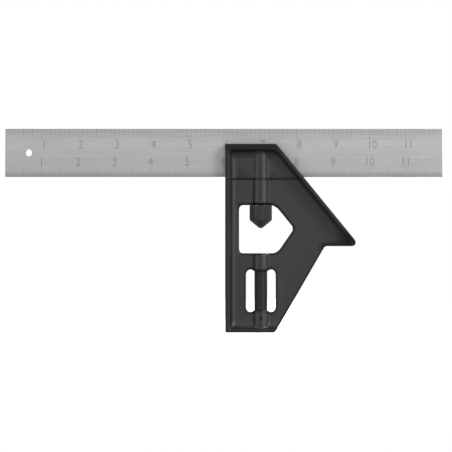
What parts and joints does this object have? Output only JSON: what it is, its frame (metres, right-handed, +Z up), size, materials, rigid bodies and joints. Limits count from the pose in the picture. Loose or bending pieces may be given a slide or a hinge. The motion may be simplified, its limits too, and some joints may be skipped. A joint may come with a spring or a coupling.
{
  "type": "combination square",
  "caption": "Steel rule sliding in a black moulded head with a square face, a mitre face, a thumb-nut clamp and a level vial.",
  "frame": {"origin": "on the plane of the head's foot, under the middle of the blade and in the middle of the head's thickness", "axes": "+X along the blade towards the toe side, +Z up the head from the foot to the blade, -Y towards the side that is read"},
  "size_m": [0.3048, 0.019, 0.1155],
  "materials": {
    "head_plastic": "moulded, fine matte texture",
    "blade_steel": "satin, ground lengthwise",
    "bolt_steel": "turned, zinc plated",
    "spring_steel": "drawn wire",
    "nut_plastic": "moulded, fluted",
    "insert_brass": "turned",
    "sleeve_black": "smooth, slightly glossy",
    "barrel_acrylic": "clear, polished",
    "spirit": "clear liquid",
    "bubble_air": "air",
    "ring_black": "index line",
    "plug_black": "moulded",
    "pad_rubber": "soft, matte",
    "foot_plastic": "moulded",
    "screw_black": "black oxide"
  },
  "bodies": {
    "head": {"head": "head_plastic", "clamp_spring": "spring_steel", "vial_sleeve": "sleeve_black", "vial_barrel": "barrel_acrylic", "vial_spirit": "spirit", "vial_rings": "ring_black", "vial_plug": "plug_black", "vial_pad_upper": "pad_rubber", "vial_pad_lower": "pad_rubber", "foot_plug": "foot_plastic", "vial_screw": "screw_black"},
    "blade": {"blade": "blade_steel"},
    "bolt": {"clamp_bolt": "bolt_steel"},
    "nut": {"clamp_nut": "nut_plastic", "nut_insert": "insert_brass"},
    "bubble": {"vial_bubble": "bubble_air"}
  },
  "joints": [
    {"name": "blade_slide", "type": "slide", "parent": "head", "child": "blade", "axis": [1, 0, 0], "range_m": [-0.115, 0.15]},
    {"name": "nut_turn", "type": "hinge", "parent": "head", "child": "nut", "pos_m": [0.0258, 0, 0.068], "axis": [0, 0, -1], "range_deg": [0, 360]},
    {"name": "bolt_lift", "type": "slide", "parent": "head", "child": "bolt", "axis": [0, 0, 1], "range_m": [0, 0.00085], "deforming": ["clamp_spring"]},
    {"name": "bubble_drift", "type": "slide", "parent": "head", "child": "bubble", "axis": [0, 0, 1], "range_m": [-0.009, 0.009], "deforming": ["vial_spirit"]}
  ],
  "couplings": [
    {"joint": "bolt_lift", "follows": "nut_turn", "m_per_rad": 0.00012732}
  ]
}
